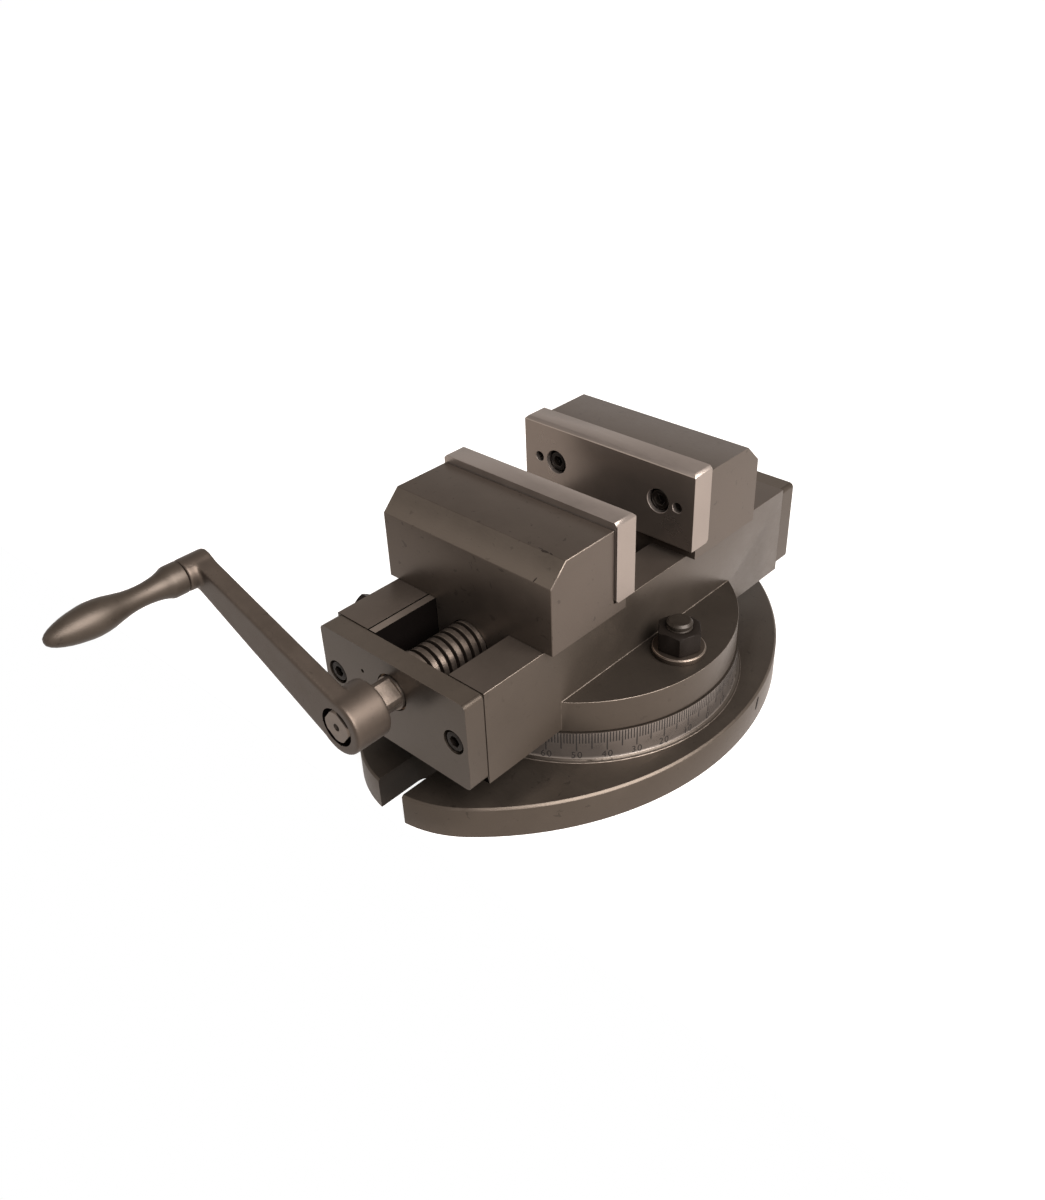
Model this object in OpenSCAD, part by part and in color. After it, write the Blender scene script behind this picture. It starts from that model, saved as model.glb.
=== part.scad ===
// Self-centring machine vise on a graduated swivel base, with a cranked screw.
// X runs along the jaws, Y along the screw with the crank at -Y, and Z is up.
// The origin is the centre of the base's underside. All lengths are millimetres.

/* [Base] */
// How far the base stands out beyond the ring at its sides
base_side_margin = 10.4; // [6:0.1:16]
// How far the tips of the base stand out beyond the end plates
base_tip_margin = 8.15; // [6:0.05:14]
// Radius of each rounded tip of the base
base_nose_radius = 55; // [48:1:62]
// Thickness of the base plate
base_thickness = 16.5; // [15:0.5:22]
// Bevel along the upper rim of the base
base_bevel = 1; // [0.5:0.1:2]
// Width of the two open slots for the table bolts
table_slot_width = 15.4; // [11:0.1:18]
// Solid width between the ring and the inner end of a table slot
table_slot_land = 16.65; // [12:0.05:20]

/* [Swivel] */
// Width of the ring outside its round T-slot
ring_wall = 8; // [6.5:0.1:11]
// Height of the graduated ring above the base plate
ring_height = 15.6; // [13.5:0.1:18]
// Gap between the clamp washers and the sides of the body
clamp_side_gap = 3.4; // [2.5:0.1:6]
// Diameter of the clamp bolts
clamp_bolt_diameter = 12; // [9:0.5:13]
// Diameter of the round heads of the clamp bolts
tee_head_diameter = 19; // [17:0.5:21]
// Diameter of the pivot pin under the body
pivot_diameter = 24; // [18:1:30]
// Angle between the longer marks of the scale
mark_step = 5; // [5:5:10]

/* [Body] */
// Width of each way beside the channel
way_width = 20.1; // [18:0.1:23]
// Length of the body between its end plates
body_length = 219.4; // [217:0.1:224]
// Thickness of the body's floor under the channel
body_floor = 6.7; // [6:0.1:10]
// Thickness of the round flange that turns on the ring
flange_thickness = 16.4; // [14:0.1:20]
// Width of the channel that the jaws slide in
channel_width = 50; // [48:0.5:52]
// Thickness of the gib strip
gib_thickness = 4.4; // [3.5:0.1:5]
// Thickness of the two end plates
plate_thickness = 10.4; // [9.5:0.1:11.5]

/* [Screw] */
// Diameter of the screw's journals
shaft_diameter = 16; // [14:0.5:17]
// Diameter over the thread's crests
thread_diameter = 22.4; // [20:0.1:23]
// Distance from one thread crest to the next
thread_pitch = 4.5; // [4:0.1:6]
// Distance across the flats of the square end
square_width = 13; // [11:0.1:14]

/* [Jaws] */
// Width of the jaws
jaw_width = 100; // [94:1:110]
// Depth of a jaw along the screw
jaw_depth = 40; // [38:0.5:43]
// Height of a jaw above the ways
jaw_height = 42.5; // [40:0.5:50]
// Slope cut along the outer upper edge of a jaw
jaw_slope = 9.4; // [6:0.1:12]
// Opening between the jaw plates as shown
jaw_opening = 42.2; // [36:0.1:44]
// How far the jaw plates stand out beyond the jaws' ends
jaw_plate_overhang = 1.2; // [0.5:0.1:2]
// Thickness of the jaw plates
jaw_plate_thickness = 12.9; // [12:0.1:14]
// How far the jaw plates stand above the jaws
jaw_plate_rise = 3.5; // [2:0.1:6]
// Distance of a jaw plate's cap screws from the ends of the jaw
jaw_screw_inset = 19; // [17:0.5:22]
// Distance from a cap screw to the tapped accessory hole beside it
accessory_step = 10.8; // [9:0.1:12]
// Diameter of the tapped accessory holes
accessory_hole_diameter = 5; // [4:0.1:6]

/* [Crank] */
// Length of the crank from shaft to handle
crank_length = 98.2; // [80:0.1:120]
// Angle that the crank stands at, seen from the front
crank_angle = 157; // [0:1:359]
// Diameter of the crank's hub
hub_diameter = 26.4; // [24:0.1:30]
// Length of the crank's hub
hub_length = 18.1; // [15:0.1:22]
// Diameter of the round boss that carries the handle
boss_diameter = 14.5; // [12:0.1:18]
// Length of the handle
grip_length = 63.6; // [50:0.1:80]
// Largest diameter of the handle
grip_diameter = 15.5; // [14:0.1:20]

/* [Hidden] */
$fn = 96;

// Cuts run past the surface by this much.
overrun = 1;

// Clearances, each on one side of a fit.
running_clearance = 0.05;
slide_clearance = 0.03;
swivel_gap = 0.3;
tap_clearance = 0.05;
bolt_clearance = 0.3;
seat_gap = 0.1;

// Clamp hardware on the flange, beside the body, and the ring that it holds on to.
half_way = way_width + channel_width / 2;
washer_radius = 1.05 * clamp_bolt_diameter;
washer_thickness = 3;
washer_bevel = 0.5;
clamp_nut_width = 1.58 * clamp_bolt_diameter;
clamp_nut_thickness = 10.5;
clamp_nut_turn = 7.5;
bolt_tail = 3.5;
bolt_tip_bevel = 1.2;
clamp_circle_radius = half_way + clamp_side_gap + washer_radius;
tee_head_clearance = 0.5;
tee_head_thickness = 6.5;
tee_slot_width = tee_head_diameter + 2 * tee_head_clearance;
tee_slot_height = tee_head_thickness + 2 * tee_head_clearance;
tee_neck_width = clamp_bolt_diameter + 2 * bolt_clearance;
tee_neck_height = 8;
ring_radius = clamp_circle_radius + tee_slot_width / 2 + ring_wall;
ring_top = base_thickness + ring_height;
ring_flare = 2.3;
tee_slot_floor = ring_top - tee_neck_height - tee_slot_height;
pivot_floor = 8;
mark_width = 0.4;
mark_depth = 0.3;
mark_length = 8;
mark_reach = 60;

// Base: the long sides are arcs that run smoothly into the round tips.
half_body = body_length / 2;
plate_outer = half_body + plate_thickness;
base_half = ring_radius + base_side_margin;
tip = plate_outer + base_tip_margin;
nose_centre = tip - base_nose_radius;
side_radius = (base_half * base_half + nose_centre * nose_centre - base_nose_radius * base_nose_radius)
    / (2 * (base_half - base_nose_radius));
side_centre = side_radius - base_half;
nose_seam = side_radius * nose_centre / (side_radius - base_nose_radius);
slot_round_centre = ring_radius + ring_flare + table_slot_land + table_slot_width / 2;

// Body: the round flange lies on the ring and carries the block.
flange_setback = 0.9;
flange_radius = ring_radius - flange_setback;
flange_bottom = ring_top + swivel_gap;
flange_top = flange_bottom + flange_thickness;
washer_top = flange_top + washer_thickness;
clamp_nut_top = washer_top + clamp_nut_thickness;
block_lift = 0.9;
block_bottom = flange_bottom + block_lift;
undercut_floor = block_bottom + body_floor;
undercut_height = 8;
undercut_top = undercut_floor + undercut_height;
lip_height = 2;
channel_floor = undercut_top + lip_height;
thread_radius = thread_diameter / 2;
lead_nut_wall = 3.3;
lead_nut_radius = thread_radius + lead_nut_wall;
nut_bed = 0.8;
nut_cover = 1.2;
screw_height = channel_floor + nut_bed + lead_nut_radius;
way = screw_height + lead_nut_radius + nut_cover;
undercut_overhang = 7;
undercut_half = channel_width / 2 + undercut_overhang;

// Gib strip on the left wall, with its set screws and lock nuts.
gib_gap = 0.6;
gib_seat_gap = 0.2;
gib_left = gib_gap - channel_width / 2;
gib_right = gib_left + gib_thickness;
gib_screw_diameter = 6;
gib_screw_drop = 7;
gib_screw_height = way - gib_screw_drop;
gib_screw_spots = [-0.838 * half_body, -0.279 * half_body, 0.279 * half_body, 0.838 * half_body];
lock_nut_width = 10;
lock_nut_thickness = 5;
gib_screw_tail = 1.2;
nut_corner_bevel_share = 0.1;

// End plates with their bushes, in front view.
plate_side_inset = 0.3;
plate_top_inset = 0.5;
plate_bottom_inset = 2.6;
plate_corner = 2.5;
plate_low = block_bottom + plate_bottom_inset;
plate_high = way - plate_top_inset;
plate_half = half_way - plate_side_inset;
plate_screw_place_share = 0.572;
plate_screw_x = channel_width / 2 + plate_screw_place_share * way_width;
plate_mid = (plate_low + plate_high) / 2;
shaft_radius = shaft_diameter / 2;
bush_wall = 3;
bush_radius = shaft_radius + bush_wall;
plate_lip = 1.2;
plate_lip_gap = 0.9;
oil_dot_radius = 0.9;
oil_dot_depth = 1;
oil_dot_offset = 18.5;
oil_dot_rise = 2.3;

// Cap screws with a hexagon socket, sized from the thread.
cap_screw_diameter = 6;
cap_head_radius = 5;
cap_head_height = 6;
cap_socket_width = 5;
cap_socket_depth = 3;
cap_head_bevel = 0.6;
cap_hole_radius = 5.75;
cap_sink = 0.5;
cap_grip_length = 14;
jaw_cap_hole_radius = 6;
jaw_cap_sink = 1.4;

// Screw: two threads of opposite hand between thrust collars.
thread_depth_share = 0.48;
thread_root = thread_radius - thread_depth_share * thread_pitch;
crest_share = 0.58;
flank_share = 0.09;
collar_rise = 0.8;
collar_radius = thread_radius + collar_rise;
collar_length = 2.8;
thrust_washer_thickness = 2;
thrust_washer_wall = 5;
collar_outer = half_body - thrust_washer_thickness - running_clearance;
collar_inner = collar_outer - collar_length;
thread_relief = 1;
thread_middle = 12;
thread_count = floor((collar_inner - thread_relief - thread_middle) / thread_pitch);
thread_start = collar_inner - thread_relief - thread_count * thread_pitch;
rear_shaft_end = plate_outer - 1.4 * plate_lip;
hub_base_gap = 3.65;
hub_seat = tip + hub_base_gap;
hub_face = hub_seat + hub_length;
square_proud = 0.1;
square_run_out = 0.8;
square_turn = 53;
centre_drill_radius = 1.25;
centre_drill_depth = 2;

// Jaws, in front view and in section along the screw.
jaw_plate_face = jaw_opening / 2;
jaw_inner = jaw_plate_face + jaw_plate_thickness + 0.5 * seat_gap;
jaw_outer = jaw_inner + jaw_depth;
jaw_bottom = way + slide_clearance;
jaw_top = way + jaw_height;
ledge_depth = 8.5;
ledge_height = 6.1;
ledge_inner = jaw_inner - ledge_depth;
ledge_top = way + ledge_height;
tongue_left = gib_right + slide_clearance;
tongue_right = channel_width / 2 - slide_clearance;
jaw_plate_bottom = ledge_top + seat_gap;
jaw_plate_width = jaw_width + 2 * jaw_plate_overhang;
jaw_plate_height = jaw_top + jaw_plate_rise - jaw_plate_bottom;
jaw_screw_x = jaw_width / 2 - jaw_screw_inset;
accessory_x = jaw_screw_x + accessory_step;
jaw_plate_bevel = 1.5;
jaw_hole_height = jaw_plate_bottom + 0.51 * jaw_plate_height;
accessory_hole_depth = 9;
lead_nut_length = 24;
nut_lip = 4;
nut_lip_gap = 0.4;
keeper_length = 36;
keeper_inset = 4;
keeper_clearance = 0.05;
keeper_top = undercut_top - keeper_clearance;
keeper_bottom = undercut_floor + keeper_clearance;
tongue_bottom = keeper_top;
keeper_half = undercut_half - 2 * keeper_clearance;
keeper_screw_diameter = 5;
keeper_screw_edge = 4.47;
keeper_screw_x = -tongue_left - keeper_screw_edge;
keeper_screw_inset = 6;
keeper_screw_grip = 7;
keeper_head_radius = 4.25;
keeper_head_height = 5;
keeper_far = jaw_outer - keeper_inset;
keeper_near = keeper_far - keeper_length;
keeper_screw_spot = keeper_near + keeper_screw_inset;

// Crank, handle and the spindle that the handle turns on.
arm_thickness = 8.6;
arm_hub_inset = 0.6;
arm_boss_inset = 0.6;
arm_edge = 1.6;
hub_edge = 1.2;
boss_length = 14;
boss_proud = 5.2;
boss_edge = 0.8;
boss_front = hub_face + boss_proud;
boss_back = boss_front - boss_length;
square_clearance = 0.1;
grip_seam = 0.2;
grip_start = boss_front + grip_seam;
grip_radius = grip_diameter / 2;
spindle_radius = 3;
spindle_reach_share = 0.8;
grip_station_shares = [0, 0.094, 0.142, 0.22, 0.314, 0.425, 0.55, 0.66,
    0.755, 0.85, 0.9, 0.94, 0.97, 0.99, 1];
grip_radius_shares = [0.955, 0.955, 0.813, 0.671, 0.613, 0.684, 0.91, 1,
    0.929, 0.787, 0.66, 0.53, 0.39, 0.24, 0];

// Colours of the finishes in the photograph.
dark_steel = [0.33, 0.30, 0.27];
plate_steel = [0.37, 0.34, 0.31];
bright_steel = [0.66, 0.62, 0.58];
black_steel = [0.11, 0.10, 0.09];
bronze = [0.55, 0.42, 0.26];

// Sets a shape drawn in front view against the front, growing towards the crank.
module outward(distance) {
    translate([0, -distance, 0]) rotate([90, 0, 0]) children();
}

module at_both_ends() {
    children();
    mirror([0, 1, 0]) children();
}

module at_both_sides() {
    children();
    mirror([1, 0, 0]) children();
}

module bevelled_disc(radius, height, bevel) {
    rotate_extrude() polygon([
        [0, 0], [radius, 0], [radius, height - bevel], [radius - bevel, height], [0, height]]);
}

module ring_shape(outer, inner, height) {
    difference() {
        cylinder(r = outer, h = height);
        translate([0, 0, -overrun]) cylinder(r = inner, h = height + 2 * overrun);
    }
}

// A box from one corner to the opposite one.
module box(low, high) {
    translate(low) cube(high - low);
}

// Hexagon prism with both ends turned to a cone, as on a machined nut.
module hexagon(across_flats, thickness) {
    corner = across_flats / sqrt(3);
    bevel = nut_corner_bevel_share * across_flats;
    intersection() {
        cylinder(r = corner, h = thickness, $fn = 6);
        rotate_extrude() polygon([
            [0, 0], [corner - bevel, 0], [corner, bevel / 2],
            [corner, thickness - bevel / 2], [corner - bevel, thickness], [0, thickness]]);
    }
}

module nut(across_flats, thickness, bore_radius) {
    difference() {
        hexagon(across_flats, thickness);
        translate([0, 0, -overrun]) cylinder(r = bore_radius, h = thickness + 2 * overrun);
    }
}

// Cap screw with its head's underside at zero and its socket at the top.
module cap_screw(shank_radius, shank_length, head_radius, head_height, socket_width) {
    difference() {
        union() {
            bevelled_disc(head_radius, head_height, cap_head_bevel);
            translate([0, 0, -shank_length]) cylinder(r = shank_radius, h = shank_length + overrun);
        }
        translate([0, 0, head_height - cap_socket_depth])
            cylinder(r = socket_width / sqrt(3), h = cap_socket_depth + overrun, $fn = 6);
    }
}

// Base plate with pointed oval outline, before any cut.
module base_outline() {
    middle_half = base_half + overrun;
    intersection() {
        translate([-side_centre, 0, 0]) bevelled_disc(side_radius, base_thickness, base_bevel);
        translate([side_centre, 0, 0]) bevelled_disc(side_radius, base_thickness, base_bevel);
        box([-middle_half, -nose_seam, 0], [middle_half, nose_seam, base_thickness]);
    }
    at_both_ends() translate([0, -nose_centre, 0])
        bevelled_disc(base_nose_radius, base_thickness, base_bevel);
}

module table_slot() {
    cut_height = base_thickness + 2 * overrun;
    translate([0, -slot_round_centre, -overrun]) {
        cylinder(r = table_slot_width / 2, h = cut_height);
        box([-table_slot_width / 2, slot_round_centre - tip - overrun, 0],
            [table_slot_width / 2, 0, cut_height]);
    }
}

module scale_marks() {
    for (turn = [-mark_reach:mark_step:mark_reach])
        rotate([0, 0, turn])
            box([ring_radius - mark_depth, -mark_width / 2, ring_top - mark_length],
                [ring_radius + overrun, mark_width / 2, ring_top + overrun]);
}

module swivel_base() {
    color(dark_steel) difference() {
        union() {
            base_outline();
            translate([0, 0, base_thickness]) cylinder(r = ring_radius, h = ring_height);
            translate([0, 0, base_thickness]) difference() {
                cylinder(r = ring_radius + ring_flare, h = ring_flare);
                rotate_extrude() translate([ring_radius + ring_flare, ring_flare]) circle(r = ring_flare);
            }
        }
        at_both_ends() table_slot();
        translate([0, 0, tee_slot_floor + tee_slot_height - overrun])
            ring_shape(clamp_circle_radius + tee_neck_width / 2, clamp_circle_radius - tee_neck_width / 2,
                tee_neck_height + 2 * overrun);
        translate([0, 0, tee_slot_floor])
            ring_shape(clamp_circle_radius + tee_slot_width / 2, clamp_circle_radius - tee_slot_width / 2,
                tee_slot_height);
        translate([0, clamp_circle_radius, tee_slot_floor])
            cylinder(r = tee_slot_width / 2 + bolt_clearance, h = ring_top);
        translate([0, 0, pivot_floor]) cylinder(r = pivot_diameter / 2 + running_clearance, h = ring_top);
        at_both_sides() scale_marks();
    }
}

module pivot_pin() {
    pin_bottom = pivot_floor + swivel_gap;
    pin_top = undercut_floor - swivel_gap;
    color(bright_steel) translate([0, 0, pin_bottom])
        bevelled_disc(pivot_diameter / 2, pin_top - pin_bottom, base_bevel);
}

module vise_body() {
    long = half_body + overrun;
    color(dark_steel) difference() {
        union() {
            translate([0, 0, flange_bottom]) cylinder(r = flange_radius, h = flange_thickness);
            box([-half_way, -half_body, block_bottom], [half_way, half_body, way]);
        }
        box([-channel_width / 2, -long, channel_floor], [channel_width / 2, long, way + overrun]);
        box([gib_right, -long, undercut_top - overrun], [channel_width / 2, long, channel_floor + overrun]);
        box([-undercut_half, -long, undercut_floor], [undercut_half, long, undercut_top]);
        translate([0, 0, block_bottom - block_lift - overrun])
            cylinder(r = pivot_diameter / 2 + slide_clearance, h = undercut_floor);
        at_both_sides() translate([clamp_circle_radius, 0, flange_bottom - overrun])
            cylinder(r = clamp_bolt_diameter / 2 + bolt_clearance, h = flange_thickness + 2 * overrun);
        at_both_ends() at_both_sides() outward(half_body - cap_grip_length)
            translate([plate_screw_x, plate_mid, 0])
                cylinder(r = cap_screw_diameter / 2 + tap_clearance, h = cap_grip_length + overrun);
        for (spot = gib_screw_spots)
            translate([-half_way - overrun, spot, gib_screw_height]) rotate([0, 90, 0])
                cylinder(r = gib_screw_diameter / 2 + tap_clearance, h = half_way);
    }
}

module gib_strip() {
    color(bright_steel)
        box([gib_left, -half_body + seat_gap, channel_floor + gib_seat_gap],
            [gib_right, half_body - seat_gap, way - seat_gap]);
}

// Slotted set screw that bears on the gib strip.
module gib_screw(spot) {
    outer_end = -half_way - lock_nut_thickness - seat_gap - gib_screw_tail;
    slot_depth = 0.3 * gib_screw_diameter;
    slot_half = 0.07 * gib_screw_diameter;
    color(black_steel) translate([0, spot, gib_screw_height]) difference() {
        translate([gib_left, 0, 0]) rotate([0, -90, 0])
            bevelled_disc(gib_screw_diameter / 2, gib_left - outer_end, 0.1 * gib_screw_diameter);
        box([outer_end - overrun, -gib_screw_diameter, -slot_half],
            [outer_end + slot_depth, gib_screw_diameter, slot_half]);
    }
}

module gib_lock_nut(spot) {
    color(black_steel) translate([-half_way - seat_gap, spot, gib_screw_height]) rotate([0, -90, 0])
        nut(lock_nut_width, lock_nut_thickness, gib_screw_diameter / 2 + tap_clearance);
}

module clamp_bolt() {
    head_bottom = tee_slot_floor + tee_slot_height - seat_gap - tee_head_thickness;
    bolt_top = clamp_nut_top + bolt_tail;
    color(black_steel) translate([clamp_circle_radius, 0, head_bottom]) {
        bevelled_disc(tee_head_diameter / 2, tee_head_thickness, 0.5 * bolt_tip_bevel);
        bevelled_disc(clamp_bolt_diameter / 2, bolt_top - head_bottom, bolt_tip_bevel);
    }
}

module clamp_washer() {
    color(bright_steel) translate([clamp_circle_radius, 0, flange_top]) difference() {
        bevelled_disc(washer_radius, washer_thickness, washer_bevel);
        translate([0, 0, -overrun])
            cylinder(r = clamp_bolt_diameter / 2 + bolt_clearance, h = washer_thickness + 2 * overrun);
    }
}

module clamp_nut() {
    color(black_steel) translate([clamp_circle_radius, 0, washer_top]) rotate([0, 0, clamp_nut_turn])
        nut(clamp_nut_width, clamp_nut_thickness, clamp_bolt_diameter / 2 + running_clearance);
}

// Upright plate with rounded corners, drawn in front view.
module rounded_plate() {
    inner_half = plate_half - plate_corner;
    inner_low = plate_low + plate_corner;
    inner_high = plate_high - plate_corner;
    box([-plate_half, inner_low, 0], [plate_half, inner_high, plate_thickness]);
    box([-inner_half, plate_low, 0], [inner_half, plate_high, plate_thickness]);
    at_both_sides() {
        translate([inner_half, inner_low, 0]) cylinder(r = plate_corner, h = plate_thickness);
        translate([inner_half, inner_high, 0]) cylinder(r = plate_corner, h = plate_thickness);
    }
}

module end_plate() {
    head_floor = plate_thickness - cap_sink - cap_head_height;
    deep = plate_thickness + 2 * overrun;
    color(plate_steel) outward(half_body) difference() {
        rounded_plate();
        translate([0, screw_height, -overrun]) cylinder(r = shaft_radius + plate_lip_gap, h = deep);
        translate([0, screw_height, -overrun])
            cylinder(r = bush_radius + slide_clearance, h = plate_thickness - plate_lip + overrun);
        at_both_sides() translate([plate_screw_x, plate_mid, 0]) {
            translate([0, 0, -overrun]) cylinder(r = cap_screw_diameter / 2 + bolt_clearance, h = deep);
            translate([0, 0, head_floor]) cylinder(r = cap_hole_radius, h = deep);
        }
        translate([-oil_dot_offset, screw_height + oil_dot_rise, plate_thickness - oil_dot_depth])
            cylinder(r = oil_dot_radius, h = oil_dot_depth + overrun);
    }
}

module end_plate_screw() {
    head_seat = plate_outer - cap_sink - cap_head_height;
    color(black_steel) outward(head_seat) translate([plate_screw_x, plate_mid, 0])
        cap_screw(cap_screw_diameter / 2, head_seat - half_body + cap_grip_length - overrun,
            cap_head_radius, cap_head_height, cap_socket_width);
}

module bush() {
    color(bronze) outward(half_body) translate([0, screw_height, 0])
        ring_shape(bush_radius, shaft_radius + running_clearance, plate_thickness - plate_lip);
}

module thrust_washer() {
    color(bright_steel) outward(half_body - thrust_washer_thickness) translate([0, screw_height, 0])
        ring_shape(shaft_radius + thrust_washer_wall, shaft_radius + running_clearance,
            thrust_washer_thickness);
}

// Outline of one thread ridge that starts at the given distance from the middle.
function ridge(start) = [
    [thread_root, start],
    [thread_radius, start + flank_share * thread_pitch],
    [thread_radius, start + (flank_share + crest_share) * thread_pitch],
    [thread_root, start + (2 * flank_share + crest_share) * thread_pitch]];

function front_ridges() = [for (turn = [0:thread_count - 1]) each ridge(thread_start + turn * thread_pitch)];

function rear_ridges() = [
    for (index = [len(front_ridges()) - 1:-1:0]) [front_ridges()[index][0], -front_ridges()[index][1]]];

// Turned bar with two threads, two collars and four flats milled on its front end.
module lead_screw() {
    square_end = hub_face + square_proud;
    flat = square_width / 2;
    past = shaft_radius + overrun;
    color(bright_steel) translate([0, 0, screw_height]) outward(0) difference() {
        rotate_extrude() polygon(concat(
            [[0, -rear_shaft_end], [shaft_radius, -rear_shaft_end], [shaft_radius, -collar_outer],
                [collar_radius, -collar_outer], [collar_radius, -collar_inner], [thread_root, -collar_inner]],
            rear_ridges(),
            front_ridges(),
            [[thread_root, collar_inner], [collar_radius, collar_inner], [collar_radius, collar_outer],
                [shaft_radius, collar_outer], [shaft_radius, square_end], [0, square_end]]));
        for (side = [0:3])
            rotate([0, 0, square_turn + 90 * side])
                box([flat, -past, plate_outer + square_run_out], [past, past, square_end + overrun]);
        translate([0, 0, square_end - centre_drill_depth])
            cylinder(r1 = 0, r2 = centre_drill_radius, h = centre_drill_depth);
    }
}

// Jaw in section along the screw: x is the distance from the middle, y is up.
module jaw_section() {
    polygon([
        [ledge_inner, jaw_bottom], [jaw_outer, jaw_bottom], [jaw_outer, jaw_top - jaw_slope],
        [jaw_outer - jaw_slope, jaw_top], [jaw_inner, jaw_top], [jaw_inner, ledge_top],
        [ledge_inner, ledge_top]]);
}

module jaw() {
    nut_bore_end = jaw_outer - nut_lip;
    color(dark_steel) difference() {
        union() {
            translate([-jaw_width / 2, 0, 0]) rotate([90, 0, -90])
                mirror([0, 0, 1]) linear_extrude(jaw_width) jaw_section();
            box([tongue_left, -jaw_outer, tongue_bottom], [tongue_right, -ledge_inner, jaw_bottom]);
        }
        outward(ledge_inner - overrun) translate([0, screw_height, 0])
            cylinder(r = lead_nut_radius + slide_clearance, h = nut_bore_end - ledge_inner + overrun);
        outward(nut_bore_end - overrun) translate([0, screw_height, 0])
            cylinder(r = thread_radius + nut_lip_gap, h = nut_lip + 2 * overrun);
        at_both_sides() outward(jaw_inner - overrun) translate([jaw_screw_x, jaw_hole_height, 0])
            cylinder(r = cap_screw_diameter / 2 + tap_clearance, h = cap_grip_length + overrun);
        at_both_sides() translate([keeper_screw_x, -keeper_screw_spot, tongue_bottom - overrun])
            cylinder(r = keeper_screw_diameter / 2 + tap_clearance, h = keeper_screw_grip + 2 * overrun);
    }
}

// Hardened plate with bevelled upper, lower and end edges.
module jaw_plate() {
    half_width = jaw_plate_width / 2;
    plate_top = jaw_plate_bottom + jaw_plate_height;
    plate_back = jaw_plate_face + jaw_plate_thickness;
    head_sink = jaw_cap_sink + cap_head_height;
    deep = jaw_plate_thickness + 2 * overrun;
    color(bright_steel) difference() {
        intersection() {
            outward(jaw_plate_face) linear_extrude(jaw_plate_thickness) polygon([
                [-half_width, jaw_plate_bottom], [half_width, jaw_plate_bottom],
                [half_width, plate_top - jaw_plate_bevel], [half_width - jaw_plate_bevel, plate_top],
                [jaw_plate_bevel - half_width, plate_top], [-half_width, plate_top - jaw_plate_bevel]]);
            translate([-half_width, 0, 0]) rotate([90, 0, -90]) mirror([0, 0, 1])
                linear_extrude(jaw_plate_width) polygon([
                    [jaw_plate_face, jaw_plate_bottom], [plate_back - jaw_plate_bevel, jaw_plate_bottom],
                    [plate_back, jaw_plate_bottom + jaw_plate_bevel], [plate_back, plate_top],
                    [jaw_plate_face + jaw_plate_bevel, plate_top],
                    [jaw_plate_face, plate_top - jaw_plate_bevel]]);
        }
        at_both_sides() translate([jaw_screw_x, 0, jaw_hole_height]) {
            translate([0, overrun - jaw_plate_face, 0]) outward(0)
                cylinder(r = cap_screw_diameter / 2 + bolt_clearance, h = deep);
            translate([0, overrun - jaw_plate_face, 0]) outward(0)
                cylinder(r = jaw_cap_hole_radius, h = head_sink + overrun);
        }
        at_both_sides() translate([accessory_x, overrun - jaw_plate_face, jaw_hole_height])
            outward(0) cylinder(r = accessory_hole_diameter / 2, h = accessory_hole_depth + overrun);
    }
}

module jaw_plate_screw() {
    head_seat = jaw_plate_face + jaw_cap_sink + cap_head_height;
    shank = jaw_inner + cap_grip_length - overrun - head_seat;
    color(black_steel) translate([jaw_screw_x, -head_seat, jaw_hole_height]) rotate([-90, 0, 0])
        cap_screw(cap_screw_diameter / 2, shank, cap_head_radius, cap_head_height, cap_socket_width);
}

module lead_nut() {
    color(bronze) outward(jaw_outer - nut_lip - lead_nut_length) translate([0, screw_height, 0])
        ring_shape(lead_nut_radius, thread_radius + running_clearance, lead_nut_length);
}

// Plate under the tongue that hooks below both ways.
module keeper() {
    color(bright_steel) difference() {
        box([-keeper_half, -keeper_far, keeper_bottom], [keeper_half, -keeper_near, keeper_top]);
        at_both_sides() translate([keeper_screw_x, -keeper_screw_spot, keeper_bottom - overrun]) {
            cylinder(r = keeper_screw_diameter / 2 + bolt_clearance, h = undercut_height + 2 * overrun);
            cylinder(r = keeper_head_radius + bolt_clearance,
                h = keeper_head_height + bolt_clearance + overrun);
        }
    }
}

module keeper_screw() {
    head_seat = keeper_bottom + keeper_head_height + bolt_clearance;
    color(black_steel) translate([keeper_screw_x, -keeper_screw_spot, head_seat]) rotate([180, 0, 0])
        cap_screw(keeper_screw_diameter / 2, tongue_bottom + keeper_screw_grip - head_seat,
            keeper_head_radius, keeper_head_height, 0.8 * keeper_screw_diameter);
}

// Disc with a bevel on both edges, used to shape the crank.
module soft_disc(radius, height, edge) {
    rotate_extrude($fn = 48) polygon([
        [0, 0], [radius - edge, 0], [radius, edge], [radius, height - edge],
        [radius - edge, height], [0, height]]);
}

// The crank lies along +x here and is turned to its angle by its caller.
module crank_shape() {
    bore = square_width / 2 + square_clearance;
    arm_back = hub_face - arm_thickness;
    difference() {
        union() {
            translate([0, 0, hub_seat]) soft_disc(hub_diameter / 2, hub_length, hub_edge);
            translate([crank_length, 0, boss_back]) soft_disc(boss_diameter / 2, boss_length, boss_edge);
            hull() {
                translate([0, 0, arm_back])
                    soft_disc(hub_diameter / 2 - arm_hub_inset, arm_thickness, arm_edge);
                translate([crank_length, 0, arm_back])
                    soft_disc(boss_diameter / 2 - arm_boss_inset, arm_thickness, arm_edge);
            }
        }
        translate([0, 0, hub_seat - overrun]) rotate([0, 0, square_turn - crank_angle])
            box([-bore, -bore, 0], [bore, bore, hub_length + 2 * overrun]);
        translate([crank_length, 0, boss_back - overrun])
            cylinder(r = spindle_radius + slide_clearance, h = boss_length + 2 * overrun);
    }
}

// Moves a shape drawn around the handle's own axis out to the end of the crank.
module on_crank(distance) {
    translate([0, 0, screw_height]) outward(0) rotate([0, 0, crank_angle])
        translate([crank_length, 0, distance]) children();
}

module crank_arm() {
    color(dark_steel) translate([0, 0, screw_height]) outward(0) rotate([0, 0, crank_angle]) crank_shape();
}

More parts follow.
